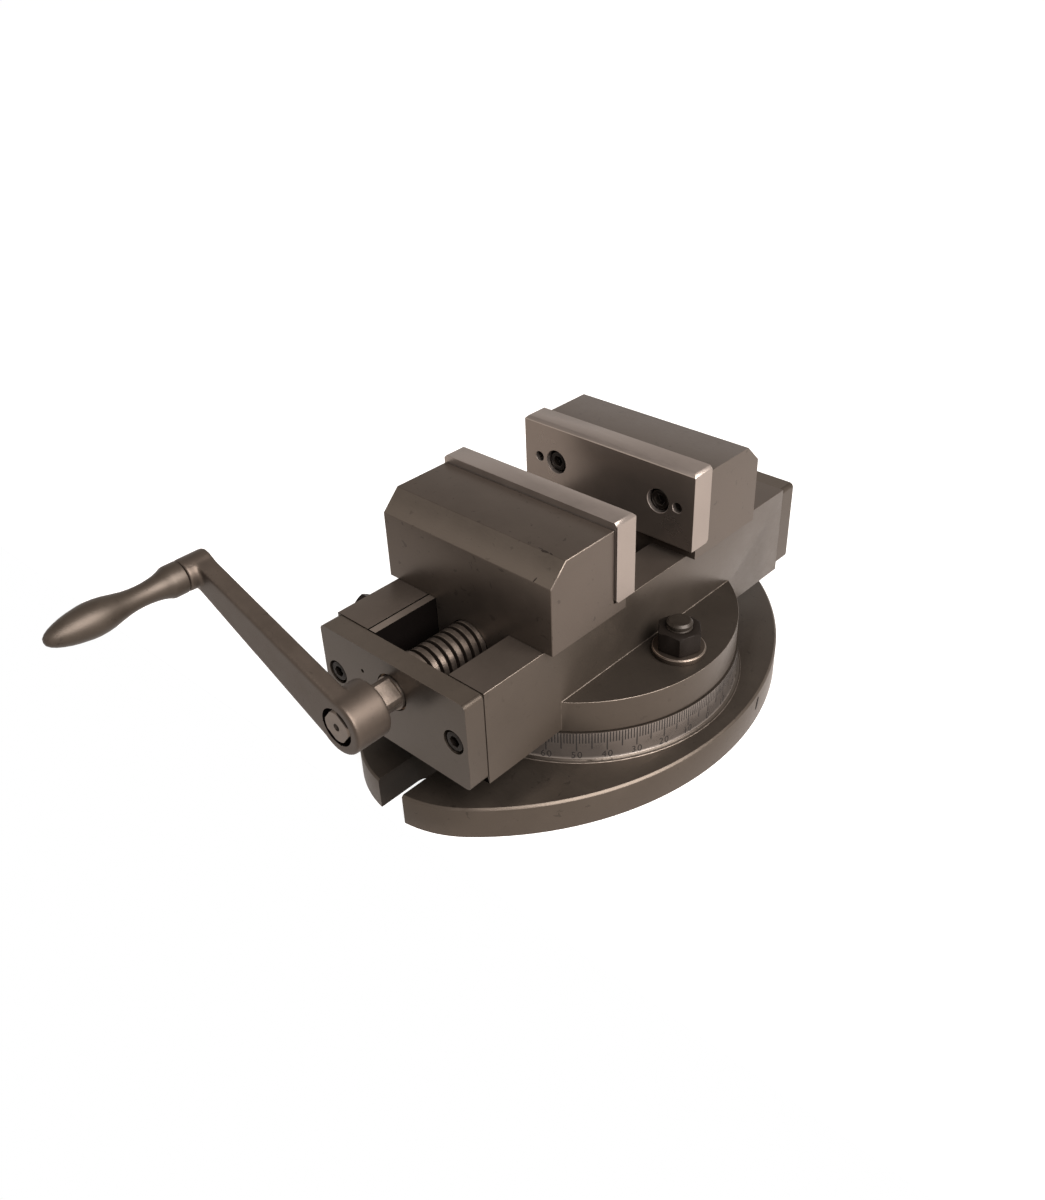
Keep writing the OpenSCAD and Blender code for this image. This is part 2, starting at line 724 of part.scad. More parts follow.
module grip_spindle() {
    color(bright_steel) on_crank(boss_back)
        cylinder(r = spindle_radius, h = boss_length + grip_seam + spindle_reach_share * grip_length);
}

module handle_grip() {
    outline = [for (index = [0:len(grip_station_shares) - 1])
        [grip_radius_shares[index] * grip_radius, grip_station_shares[index] * grip_length]];
    bore_length = spindle_reach_share * grip_length + grip_seam;
    color(dark_steel) on_crank(grip_start) difference() {
        rotate_extrude() polygon(concat([[0, 0]], outline));
        translate([0, 0, -overrun])
            cylinder(r = spindle_radius + running_clearance, h = bore_length + overrun);
    }
}

swivel_base();
pivot_pin();
vise_body();
gib_strip();
gib_screw(gib_screw_spots[0]);  // gib_screw_1
gib_screw(gib_screw_spots[1]);  // gib_screw_2
gib_screw(gib_screw_spots[2]);  // gib_screw_3
gib_screw(gib_screw_spots[3]);  // gib_screw_4
gib_lock_nut(gib_screw_spots[0]);  // gib_lock_nut_1
gib_lock_nut(gib_screw_spots[1]);  // gib_lock_nut_2
gib_lock_nut(gib_screw_spots[2]);  // gib_lock_nut_3
gib_lock_nut(gib_screw_spots[3]);  // gib_lock_nut_4
mirror([1, 0, 0]) clamp_bolt();  // clamp_bolt_left
clamp_bolt();  // clamp_bolt_right
mirror([1, 0, 0]) clamp_washer();  // clamp_washer_left
clamp_washer();  // clamp_washer_right
mirror([1, 0, 0]) clamp_nut();  // clamp_nut_left
clamp_nut();  // clamp_nut_right
end_plate();  // front_end_plate
mirror([0, 1, 0]) end_plate();  // rear_end_plate
mirror([1, 0, 0]) end_plate_screw();  // front_plate_screw_left
end_plate_screw();  // front_plate_screw_right
rotate([0, 0, 180]) end_plate_screw();  // rear_plate_screw_left
mirror([0, 1, 0]) end_plate_screw();  // rear_plate_screw_right
bush();  // front_bush
mirror([0, 1, 0]) bush();  // rear_bush
thrust_washer();  // front_thrust_washer
mirror([0, 1, 0]) thrust_washer();  // rear_thrust_washer
lead_screw();
jaw();  // front_jaw
mirror([0, 1, 0]) jaw();  // rear_jaw
jaw_plate();  // front_jaw_plate
mirror([0, 1, 0]) jaw_plate();  // rear_jaw_plate
mirror([1, 0, 0]) jaw_plate_screw();  // front_jaw_screw_left
jaw_plate_screw();  // front_jaw_screw_right
rotate([0, 0, 180]) jaw_plate_screw();  // rear_jaw_screw_left
mirror([0, 1, 0]) jaw_plate_screw();  // rear_jaw_screw_right
lead_nut();  // front_lead_nut
mirror([0, 1, 0]) lead_nut();  // rear_lead_nut
keeper();  // front_keeper
mirror([0, 1, 0]) keeper();  // rear_keeper
mirror([1, 0, 0]) keeper_screw();  // front_keeper_screw_left
keeper_screw();  // front_keeper_screw_right
rotate([0, 0, 180]) keeper_screw();  // rear_keeper_screw_left
mirror([0, 1, 0]) keeper_screw();  // rear_keeper_screw_right
crank_arm();
grip_spindle();
handle_grip();
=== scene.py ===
import math

import bpy
from mathutils import Matrix, Vector


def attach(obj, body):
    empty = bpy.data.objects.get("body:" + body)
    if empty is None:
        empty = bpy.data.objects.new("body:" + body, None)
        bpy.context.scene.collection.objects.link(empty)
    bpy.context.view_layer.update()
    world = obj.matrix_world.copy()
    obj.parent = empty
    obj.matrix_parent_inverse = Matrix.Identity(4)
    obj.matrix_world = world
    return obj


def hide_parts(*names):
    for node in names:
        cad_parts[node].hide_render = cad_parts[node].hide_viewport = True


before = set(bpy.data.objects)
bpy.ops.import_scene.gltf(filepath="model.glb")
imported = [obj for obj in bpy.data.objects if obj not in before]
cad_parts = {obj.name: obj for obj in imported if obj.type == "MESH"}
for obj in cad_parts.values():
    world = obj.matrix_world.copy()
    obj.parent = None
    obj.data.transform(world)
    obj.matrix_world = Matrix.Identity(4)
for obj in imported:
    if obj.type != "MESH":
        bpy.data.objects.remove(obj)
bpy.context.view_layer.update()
MM = 0.001

# Camera: it stands front right of the vise and above it, with a slight tilt, as the photographer held it.
# The lens is in terms of the long side of the 1045 by 1200 picture.
camera_turn = math.radians(44.069)
camera_lift = math.radians(33.651)
camera_tilt = math.radians(-2.395)
camera_reach = 518.33 * MM
looked_at = Vector((2.587, -41.412, 72.734)) * MM
focal_pixels = 1133.76
picture_height = 1200
film_width = 36
back = Vector((
    math.sin(camera_turn) * math.cos(camera_lift),
    -math.cos(camera_turn) * math.cos(camera_lift),
    math.sin(camera_lift)))
level = Vector((math.cos(camera_turn), math.sin(camera_turn), 0))
upright = back.cross(level)
right = math.cos(camera_tilt) * level + math.sin(camera_tilt) * upright
up = math.cos(camera_tilt) * upright - math.sin(camera_tilt) * level
lens = bpy.data.cameras.new("camera")
lens.sensor_fit = "AUTO"
lens.sensor_width = film_width
lens.lens = focal_pixels / picture_height * film_width
camera = bpy.data.objects.new("camera", lens)
camera_axes = Matrix((right, up, back)).transposed().to_4x4()
camera.matrix_world = Matrix.Translation(looked_at + camera_reach * back) @ camera_axes
bpy.context.scene.collection.objects.link(camera)
bpy.context.scene.camera = camera
bpy.context.scene.view_settings.view_transform = "Standard"


# Shader sums: a socket is wrapped, so that the light and every finish are written as a sum of their parts,
# such as clouds of oil, the grain of a tool and small dents.
class Signal:
    """A shader socket that adds, subtracts, multiplies and compares the way a number does."""

    def __init__(self, tree, socket=None):
        self.tree = tree
        self.socket = socket

    def node(self, kind, settings=None, inputs=None, output=0):
        """Adds a node: its settings come first, then the value or link of each socket."""
        made = self.tree.nodes.new(kind)
        for name, value in (settings or {}).items():
            if name == "stops":
                for element, (spot, shade) in zip(made.color_ramp.elements, value):
                    element.position = spot
                    element.color = (shade, shade, shade, 1)
            else:
                setattr(made, name, value)
        for name, value in (inputs or {}).items():
            if isinstance(value, Signal):
                self.tree.links.new(value.socket, made.inputs[name])
            else:
                made.inputs[name].default_value = value
        return Signal(self.tree, made.outputs[output] if len(made.outputs) else None)

    def maths(self, operation, first, second, clamp=False):
        settings = {"operation": operation, "use_clamp": clamp}
        return self.node("ShaderNodeMath", settings, {0: first, 1: second})

    def __add__(self, other):
        return self.maths("ADD", self, other)

    def __radd__(self, other):
        return self.maths("ADD", other, self)

    def __sub__(self, other):
        return self.maths("SUBTRACT", self, other)

    def __rsub__(self, other):
        return self.maths("SUBTRACT", other, self)

    def __mul__(self, other):
        return self.maths("MULTIPLY", self, other)

    def __rmul__(self, other):
        return self.maths("MULTIPLY", other, self)

    def __gt__(self, other):
        return self.maths("GREATER_THAN", self, other)

    def blend(self, first, second):
        """A colour that goes from the first to the second as this signal goes from 0 to 1."""
        return self.node("ShaderNodeMix", {"data_type": "RGBA"}, {0: self, 6: first, 7: second}, output=2)


# Light and floor: a white sheet in a white room, a soft box at the right and a weaker one over the crank.
# The sheet's own white shows to the camera and in the steel, and it still takes the shadow. The sheet ends
# in front of the base, as a machine table does, so that the crank can swing below its level.
ambient = 0.4
room_thrown = 0.7
dim_from, dim_to, dim_share = 0.3, 0.75, 0.4
low_ambient, low_gain = 0.35, 2.2
warm_room = (1, 0.92, 0.87, 1)
plain_white = (1, 1, 1, 1)
floor_size = 8
floor_front = -0.13
paper_shade = (0.32, 0.3, 0.285, 1)
paper_glow = 0.92
paper_thrown = 0.74
warm_paper = (1, 0.93, 0.88, 1)


def sees_background(signal, thrown):
    """1 for the camera's own rays, and the thrown share for those that steel or glass throws on."""
    camera_ray, glossy_ray, passed_ray = (signal.node("ShaderNodeLightPath", output=f"Is {kind} Ray")
                                          for kind in ("Camera", "Glossy", "Transmission"))
    return signal.maths("ADD", camera_ray, (glossy_ray + passed_ray) * thrown, clamp=True)


def select_only(*pieces):
    """Selects these pieces and nothing else, and makes the first one active."""
    bpy.ops.object.select_all(action="DESELECT")
    for piece in pieces:
        piece.select_set(True)
    if pieces:
        bpy.context.view_layer.objects.active = pieces[0]


world = bpy.data.worlds.new("studio")
world.use_nodes = True
world.node_tree.nodes.clear()
air = Signal(world.node_tree)
heading = air.node("ShaderNodeTexCoord", output="Generated")
height = air.node("ShaderNodeSeparateXYZ", {}, {0: heading}, output=2)
overhead = air.node("ShaderNodeMapRange", {"interpolation_type": "SMOOTHSTEP"}, {
    "Value": height, "From Min": dim_from, "From Max": dim_to, "To Min": 1.0, "To Max": dim_share})
camera_sees = air.node("ShaderNodeLightPath", output="Is Camera Ray")
above = height > 0
room = ambient * (low_ambient + (1 - low_ambient) * above) + (1 - ambient) * sees_background(air, room_thrown)
lit = room * overhead * (low_gain - (low_gain - 1) * above)
glow = air.node("ShaderNodeBackground", {}, {
    "Color": camera_sees.blend(warm_room, plain_white), "Strength": lit + camera_sees * (1 - lit)})
air.node("ShaderNodeOutputWorld", {}, {"Surface": glow})
bpy.context.scene.world = world

for name, place, size, power, shade in (
        ("soft_box_right", (1.2, -0.12, 1.08), 1.6, 115, (1, 0.955, 0.945)),
        ("soft_box_crank", (-0.55, -1.05, 0.75), 0.8, 1.5, (1, 0.95, 0.92))):
    lamp = bpy.data.lights.new(name, "AREA")
    lamp.shape = "DISK"
    lamp.size = size
    lamp.energy = power
    lamp.color = shade
    box = bpy.data.objects.new(name, lamp)
    box.matrix_world = Matrix.Translation(place) @ (
        looked_at - Vector(place)).to_track_quat("-Z", "Y").to_matrix().to_4x4()
    bpy.context.scene.collection.objects.link(box)

select_only()
bpy.ops.mesh.primitive_plane_add(size=floor_size)
floor = bpy.context.object
floor.name = "floor"
floor.data.transform(Matrix.Translation((0, floor_size / 2 + floor_front, 0)))
paper = bpy.data.materials.new("white_paper")
paper.use_nodes = True
paper.node_tree.nodes.clear()
sheet = Signal(paper.node_tree)
matt = sheet.node("ShaderNodeBsdfDiffuse", {}, {"Color": paper_shade})
sheet_sees = sheet.node("ShaderNodeLightPath", output="Is Camera Ray")
white = sheet.node("ShaderNodeEmission", {}, {
    "Color": sheet_sees.blend(warm_paper, plain_white),
    "Strength": paper_glow * sees_background(sheet, paper_thrown)})
both = sheet.node("ShaderNodeAddShader", {}, {0: matt, 1: white})
sheet.node("ShaderNodeOutputMaterial", {}, {"Surface": both})
floor.data.materials.append(paper)

# Swivel base: a cast iron plate, turned and ground, with a raised ring that carries the scale.
# Its foot is clamped to the table by bolts in the two slots, and the vise turns on the ring.
# The rim's sides are painted brighter than the top as painted light, and the slots' walls are painted dark as
# shade.
base_plate_top = 16.5
eased_below = 16.7
rim_slopes = (-0.5, 0.95)
table_slot_half = 7.8
table_slot_deep = 95
weld = 1e-6
flat_within = math.radians(0.5)
sharp_beyond = math.radians(28)
smooth_within = math.radians(32)
grain_scale, nick_scale, worn_scale = 1600, 260, 230
nick_stops = ((0.655, 0), (0.69, 1))
worn_stops = ((0.36, 0), (0.62, 1))
cloud_roughness, grain_roughness = 0.2, 2.5
relief_depth = 0.2


def tone(red, green, blue):
    """A colour as an eye or a picture shows it, turned to the numbers that a shader takes."""
    return (*[((c / 255 + 0.055) / 1.055) ** 2.4 for c in (red, green, blue)], 1)


def noise(place, scale, detail, roughness, distortion=0.0):
    """Soft random spots over the piece, from 0 to 1, so many to a metre."""
    return place.node("ShaderNodeTexNoise", {}, {
        "Vector": place, "Scale": scale, "Detail": detail, "Roughness": roughness, "Distortion": distortion})


def worked_metal(name, colour, roughness, metallic=0.75, cloud=0.12, cloud_size=22, grain=0.08,
                 draw=(1, 1, 1), relief=0.12, nicks=0.0, worn=None, gloss=0.3):
    """A metal surface: broad clouds of oil and handling, cloud_size millimetres wide, and the fine grain
    that the last tool left, drawn out along the axis where draw is small. Nicks are small dark dents,
    and worn is the darker colour that shows in spots where an edge isn't rubbed."""
    metal = bpy.data.materials.new(name)
    metal.use_nodes = True
    metal.node_tree.nodes.clear()
    made = Signal(metal.node_tree)
    place = made.node("ShaderNodeTexCoord", output="Object")
    clouds = noise(place, 1000 / cloud_size, 3, 0.6) - 0.5
    drawn = made.node("ShaderNodeVectorMath", {"operation": "MULTIPLY"}, {0: place, 1: draw})
    marks = noise(drawn, grain_scale, 4, 0.7) - 0.5
    shade = clouds * (2 * cloud) + marks * (2 * grain) + 1
    relief_map = marks
    if nicks:
        dents = noise(place, nick_scale, 3, 0.55, 0.6)
        dents = made.node("ShaderNodeValToRGB", {"stops": nick_stops}, {"Fac": dents})
        shade = shade - dents * nicks
        relief_map = relief_map - dents
    colour_here = tone(*colour)
    if worn:
        rubbed = noise(place, worn_scale, 3, 0.7)
        rubbed = made.node("ShaderNodeValToRGB", {"stops": worn_stops}, {"Fac": rubbed})
        colour_here = rubbed.blend(tone(*worn), colour_here)
    tinted = made.node("ShaderNodeMix", {"data_type": "RGBA", "blend_type": "MULTIPLY"}, {
        0: 1.0, 6: colour_here, 7: shade}, output=2)
    bumps = made.node("ShaderNodeBump", {}, {
        "Height": relief_map, "Strength": relief, "Distance": relief_depth * MM})
    surface = made.node("ShaderNodeBsdfPrincipled", {}, {
        "Base Color": tinted, "Metallic": metallic, "Normal": bumps, "Specular IOR Level": gloss,
        "Roughness": clouds * cloud_roughness + marks * (grain_roughness * grain) + roughness})
    made.node("ShaderNodeOutputMaterial", {}, {"Surface": surface})
    return metal


def eased_copy(node, name, body, finish, ease=0.35, edge_finish=None, where=None, shine=None):
    """Copies a solid of the frame, joins its triangles to whole faces and breaks its sharp edges,
    as a file or stone does. Where gives each edge's share of the ease, by its middle in millimetres,
    and shine says which of the broken edges show the edge finish."""
    piece = bpy.data.objects.new(name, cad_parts[node].data.copy())
    bpy.context.scene.collection.objects.link(piece)
    select_only(piece)
    piece.data.materials.clear()
    piece.data.materials.append(finish)
    piece.data.materials.append(edge_finish or finish)
    bpy.ops.object.mode_set(mode="EDIT")
    bpy.ops.mesh.select_all(action="SELECT")
    bpy.ops.mesh.customdata_custom_splitnormals_clear()
    bpy.ops.mesh.remove_doubles(threshold=weld)
    bpy.ops.mesh.dissolve_limited(angle_limit=flat_within)
    bpy.ops.mesh.select_all(action="DESELECT")
    bpy.ops.mesh.select_mode(type="EDGE")
    bpy.ops.mesh.edges_select_sharp(sharpness=sharp_beyond)
    bpy.ops.object.mode_set(mode="OBJECT")
    weight = piece.data.attributes.new("bevel_weight_edge", "FLOAT", "EDGE")
    points = piece.data.vertices
    for edge in piece.data.edges:
        middle = (points[edge.vertices[0]].co + points[edge.vertices[1]].co) / (2 * MM)
        weight.data[edge.index].value = edge.select * (1.0 if where is None else float(where(middle)))
    bpy.ops.object.modifier_add(type="BEVEL")
    bevel = piece.modifiers[-1]
    bevel.limit_method = "WEIGHT"
    bevel.width = ease * MM
    bevel.segments = 1
    bevel.material = 1
    bpy.ops.object.modifier_apply(modifier=bevel.name)
    if shine:
        for face in piece.data.polygons:
            if face.material_index == 1 and not shine(face.center / MM):
                face.material_index = 0
    bpy.ops.object.shade_smooth_by_angle(angle=smooth_within)
    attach(piece, body)
    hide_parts(node)
    return piece


def paint(piece, finish, picks):
    """Gives one more finish to the faces that a test picks by their middle, in millimetres, and normal."""
    piece.data.materials.append(finish)
    for face in piece.data.polygons:
        if picks(face.center / MM, face.normal):
            face.material_index = len(piece.data.materials) - 1


def on_rim(p, n):
    """True for the plate's upright sides, the bevel above them and the walls of its slots."""
    return p.z < base_plate_top and rim_slopes[0] < n.z < rim_slopes[1]


cast_finish = worked_metal("oiled_cast_steel", (55, 49, 43), 0.37, grain=0.1, draw=(0.25, 1, 1), nicks=0.25)
edge_highlight = worked_metal("painted_edge_highlight", (92, 84, 77), 0.46, metallic=0.85, cloud=0.2, cloud_size=8,
                           grain=0.15, worn=(72, 65, 58))
rim_side_light = worked_metal("rim_side_painted_light", (67, 60, 53), 0.4, grain=0.08, nicks=0.25)
slot_shade = worked_metal("table_slot_painted_shade", (38, 33, 28), 0.5, cloud=0.3)
swivel_base = eased_copy("swivel_base", "swivel_base_plate", "base", cast_finish, 0.22,
                         where=lambda p: p.z < eased_below)
# The rim's sides are painted brighter than the top as painted light.
paint(swivel_base, rim_side_light, on_rim)
# The slots' walls are painted dark as shade.
paint(swivel_base, slot_shade,
      lambda p, n: on_rim(p, n) and abs(p.x) < table_slot_half and abs(p.y) > table_slot_deep)

# Knocks have left small dark dents: one in the rim at the right, and a few in the front jaw.
# One soft-edged hollow is modelled, and each dent is a copy of it, laid in the surface.
dent_thickness = 0.4
filler = worked_metal("black_filler", (20, 16, 13), 0.8, metallic=0.0, cloud=0.3, cloud_size=4)
select_only()
bpy.ops.mesh.primitive_cylinder_add(vertices=20, radius=1, depth=0.6)
hollow = bpy.context.object
bpy.ops.object.mode_set(mode="EDIT")
bpy.ops.mesh.select_all(action="SELECT")
bpy.ops.mesh.bevel(offset=0.25, segments=2)
bpy.ops.object.mode_set(mode="OBJECT")


def dent(name, spot, turns, half_long, half_wide, finish, body):
    """Lays the hollow at a spot in millimetres, turned by degrees about one axis after another."""
    stand = Matrix.Translation(Vector(spot) * MM)
    for degrees, axis in turns:
        stand = stand @ Matrix.Rotation(math.radians(degrees), 4, axis)
    mark = bpy.data.objects.new(name, hollow.data.copy())
    mark.data.transform(stand @ Matrix.Diagonal((half_long * MM, half_wide * MM, dent_thickness * MM, 1)))
    mark.data.materials.append(finish)
    bpy.context.scene.collection.objects.link(mark)
    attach(mark, body)


dent("rim_dent", (86.06, 32.53, 10.35), ((12.5, "Z"), (-24, "X"), (90, "Y")), 3.4, 0.95,
     filler, "base")

# Scale: the ring's own side, bright from turning, with a line for each degree and numerals for each tenth.
# Lines and numerals are engraved and filled with black, and a thin ring at the ring's foot, where it meets
# the plate, is a painted highlight.
ring_radius = 79.1
ring_top = 32.1
ring_flare = 2.3
ring_foot = 0.85
ring_depth = 0.8
foot_highlight_section = ((-0.5, -0.05), (0.05, -0.05), (-0.2, 0.28), (-0.5, 0.15), (-0.5, -0.05))
line_reach = 60
line_feet = {1: 26.2, 5: 22.9, 10: 21.8}
line_widths = {1: 0.6, 5: 0.64, 10: 0.64}
line_thickness = 0.25
numeral_height = 3.6
numeral_foot = 17.9
numeral_width_share = 0.92
numeral_half_thickness = 0.12
capital_share = 0.7
sunk = 0.1


def joined(pieces, name, finish, body):
    """Joins pieces that were placed one by one, gives them one finish and lets them ride on a body."""
    select_only(*pieces)
    bpy.ops.object.join()
    whole = pieces[0]
    whole.name = name
    whole.data.materials.clear()
    whole.data.materials.append(finish)
    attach(whole, body)


def lathe(name, outline, centre, axis, steps=64):
    """Turns a bar: the outline gives each corner's radius and its place along the axis, in millimetres."""
    side = Vector((0, 0, 1)) if axis[1] else Vector((1, 0, 0))
    corners = [(Vector(centre) + radius * side + along * Vector(axis)) * MM for radius, along in outline]
    mesh = bpy.data.meshes.new(name)
    mesh.from_pydata(corners, [(k, k + 1) for k in range(len(outline) - 1)], [])
    bar = bpy.data.objects.new(name, mesh)
    bpy.context.scene.collection.objects.link(bar)
    select_only(bar)
    bpy.ops.object.mode_set(mode="EDIT")
    bpy.ops.mesh.select_all(action="SELECT")
    bpy.ops.mesh.spin(steps=steps, angle=2 * math.pi, center=Vector(centre) * MM, axis=axis)
    bpy.ops.mesh.select_all(action="SELECT")
    bpy.ops.mesh.remove_doubles(threshold=weld)
    bpy.ops.mesh.normals_make_consistent(inside=False)
    bpy.ops.object.mode_set(mode="OBJECT")
    bpy.ops.object.shade_smooth_by_angle(angle=smooth_within)
    return bar


ring_finish = worked_metal("turned_ring", (113, 106, 100), 0.3, metallic=0.85, cloud=0.16, cloud_size=14,
                           grain=0.06, draw=(1, 1, 4), relief=0.04)
swivel_base.data.materials.append(ring_finish)
for face in swivel_base.data.polygons:
    heights = [swivel_base.data.vertices[corner].co.z / MM - base_plate_top for corner in face.vertices]
    out = math.hypot(face.center.x, face.center.y) / MM
    if out > ring_radius - ring_depth and min(heights) > ring_foot:
        face.material_index = len(swivel_base.data.materials) - 1

# The thin bright ring at the ring's foot is a painted highlight.
foot_highlight_outline = [(ring_radius + ring_flare + out, base_plate_top + rise) for out, rise in foot_highlight_section]
foot_highlight = lathe("ring_foot_highlight", foot_highlight_outline, (0, 0, 0), (0, 0, 1), 192)
foot_highlight.data.materials.append(edge_highlight)
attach(foot_highlight, "base")

select_only()
bpy.ops.mesh.primitive_cube_add(size=1)
scale_line = bpy.context.object
bpy.ops.object.mode_set(mode="EDIT")
bpy.ops.mesh.bevel(offset=0.12, segments=1)
bpy.ops.object.mode_set(mode="OBJECT")
lines = []
for side in (0, 180):
    for degree in range(-line_reach, line_reach + 1):
        kind = 10 if degree % 10 == 0 else 5 if degree % 5 == 0 else 1
        tall = ring_top - sunk - line_feet[kind]
        stand = Matrix.Rotation(math.radians(side + degree), 4, "Z") @ Matrix.Translation(
            Vector((ring_radius - sunk, 0, line_feet[kind] + tall / 2)) * MM)
        line = bpy.data.objects.new("line", scale_line.data.copy())
        line.data.transform(stand @ Matrix.Diagonal((
            line_thickness * MM, line_widths[kind] * MM, tall * MM, 1)))
        bpy.context.scene.collection.objects.link(line)
        lines.append(line)
bpy.data.objects.remove(scale_line)
joined(lines, "scale_lines", filler, "base")

numerals = []
for side in (0, 180):
    for degree in range(-line_reach, line_reach + 1, 10):
        select_only()
        bpy.ops.object.text_add()
        numeral = bpy.context.object
        numeral.data.body = str(abs(degree))
        numeral.data.align_x = "CENTER"
        numeral.data.size = numeral_height / capital_share * MM
        numeral.data.extrude = numeral_half_thickness * MM
        numeral.data.space_character = 1.2
        bpy.ops.object.convert(target="MESH")
        for point in numeral.data.vertices:
            turn = math.radians(side + degree) + numeral_width_share * point.co.x / (ring_radius * MM)
            rise = numeral_foot * MM + point.co.y
            drop = max(0, (base_plate_top + ring_flare) * MM - rise)
            out = (ring_radius + ring_flare) * MM - math.sqrt((ring_flare * MM) ** 2 - drop ** 2)
            out += point.co.z - sunk * MM
            point.co = Vector((out * math.cos(turn), out * math.sin(turn), rise))
        numerals.append(numeral)
joined(numerals, "scale_numerals", filler, "base")

# Pivot pin: a plain hardened pin, pressed into the body, that turns in the middle of the base.
# It is hidden in use, and keeps the turned steel's own brightness.
plain_steel = worked_metal("plain_steel", (128, 117, 107), 0.34, metallic=0.9, cloud=0.14, grain=0.1)
eased_copy("pivot_pin", "pivot_pin_turned", "body", plain_steel, 0.3)

# Body: one steel block with a round flange below, milled and ground all over, with a channel for the screw.
# The channel is painted near black as shade, the ways on top are painted palest as painted light and the
# flange top darker as painted shade, a painted shade line runs where the end plates meet, and the outer edges
# carry a painted highlight.
touch = 0.1
facing = 0.99
channel_wall = 33
channel_low, channel_top = 39.5, 80.6
body_half_width = 46
body_half_length = 109.7
way_top = 81
flange_top = 48.8
flange_root_share, edge_share = 1.2, 0.6
bright_within = body_half_length - 1
bright_above = way_top - 0.5
plate_seam = body_half_length - 0.3
body_finish = worked_metal("ground_body", (68, 61, 54), 0.34, grain=0.05, draw=(1, 0.2, 1), relief=0.04,
                           nicks=0.12)
shade_black = worked_metal("painted_shade_black", (7, 5, 4), 0.75, metallic=0.0, cloud=0.3, gloss=0.0)
flange_top_shade = worked_metal("turned_flange_painted_shade", (58, 52, 46), 0.42, grain=0.09, nicks=0.12)
way_top_light = worked_metal("ground_ways_painted_light", (80, 72, 65), 0.36, grain=0.06, draw=(1, 0.2, 1), relief=0.04)
# Its broken edges carry a painted highlight, wider along the block's foot on the flange top; the edges at the
# plate ends stay plain below the top.
body_block = eased_copy(
    "vise_body", "body_block", "body", body_finish, 0.4, edge_highlight,
    where=lambda p: flange_root_share if abs(p.z - flange_top) < touch and abs(p.x) < body_half_width
    else edge_share,
    shine=lambda p: abs(p.y) < bright_within or p.z > bright_above)
# The channel's walls and floor, and a thin strip at each end where the end plates sit, are painted near black
# as shade.
paint(body_block, shade_black,
      lambda p, n: abs(p.x) < channel_wall and channel_low < p.z < channel_top
      or abs(p.y) > plate_seam and abs(n.y) < facing)
# The flange's top is painted darker as painted shade.
paint(body_block, flange_top_shade, lambda p, n: n.z > facing and abs(p.z - flange_top) < touch)
# The ways' top faces are painted paler as painted light.
paint(body_block, way_top_light, lambda p, n: n.z > facing and abs(p.z - way_top) < touch)

# Gib strip: a hardened ground strip that takes up the play of the jaws, pressed in by four set screws.
# Its sides are painted near black as shade in the channel, and only its top shows the ground steel; each set
# screw is held by a thin hexagon nut outside.
gib_finish = worked_metal("ground_gib", (118, 108, 99), 0.38, metallic=0.85, cloud=0.1)
gib = eased_copy("gib_strip", "gib_strip_ground", "body", gib_finish, 0.2)
paint(gib, shade_black, lambda p, n: n.z <= facing or p.z <= bright_above)
black_finish = worked_metal("black_oxide", (23, 19, 16), 0.45, metallic=0.4, cloud=0.2, grain=0.1, gloss=0.1)
for index in (1, 2, 3, 4):
    eased_copy(f"gib_screw_{index}", f"gib_set_screw_{index}", "body", black_finish, 0.12)
    eased_copy(f"gib_lock_nut_{index}", f"gib_nut_{index}", "body", black_finish, 0.15)

# Clamps: on each side a bolt whose head slides in the ring's slot, a thick washer and a high nut.
# The nut's bore is countersunk and the countersink is painted near black as shade, and the bolt's end shows
# its thread above it.
clamp_out = 61.1
nut_top = 62.3
nut_countersink = 1.5
nut_ease_share = 0.12
stud_radius = 6
stud_top = 65.8
stud_point = 1.1
stud_point_height = 1
groove_start = nut_top - 2
groove_end = stud_top - 2.4
bore_edge = stud_radius + 0.3
bore_reach = stud_radius + 1.6
head_low = 17.5
head_radius = 9.5
head_height = 6.5
head_ease = 0.6
stud_pitch = 1.75
stud_groove = ((0, 0.35), (0.75, 0.85), (0.75, 1), (0, 1.5))
stud_finish = worked_metal("worn_oxide", (38, 33, 28), 0.4, metallic=0.5, cloud=0.25, cloud_size=5, grain=0.1)
washer_finish = worked_metal("turned_washer", (68, 60, 53), 0.34, metallic=0.85, cloud=0.15)


def from_stud(p):
    """How far a point lies from the middle of its own clamp bolt."""
    return math.hypot(abs(p.x) - clamp_out, p.y)


for side, rider, way in (("left", "left_nut", -1), ("right", "right_nut", 1)):
    turn = groove_start
    outline = [(0, head_low), (head_radius - head_ease, head_low), (head_radius, head_low + head_ease),
               (head_radius, head_low + head_height - head_ease),
               (head_radius - head_ease, head_low + head_height), (stud_radius, head_low + head_height),
               (stud_radius, turn)]
    while turn < groove_end:
        outline += [(stud_radius - deep, turn + along) for deep, along in stud_groove]
        turn += stud_pitch
    outline += [(stud_radius, stud_top - stud_point_height), (stud_radius - stud_point, stud_top),
                (0, stud_top)]
    stud = lathe(f"clamp_stud_{side}", outline, (way * clamp_out, 0, 0), (0, 0, 1))
    stud.data.materials.append(stud_finish)
    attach(stud, "body")
    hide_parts(f"clamp_bolt_{side}")
    # The washer's broken edges take the plain steel as a painted highlight.
    eased_copy(f"clamp_washer_{side}", f"clamp_washer_{side}_turned", "body", washer_finish,
               0.2, plain_steel)
    # The countersink round the nut's bore is painted near black as shade.
    eased_copy(f"clamp_nut_{side}", f"clamp_hexagon_{side}", rider, black_finish,
               nut_countersink, shade_black,
               where=lambda p: 1.0 if from_stud(p) < bore_edge else nut_ease_share,
               shine=lambda p: from_stud(p) < bore_reach)

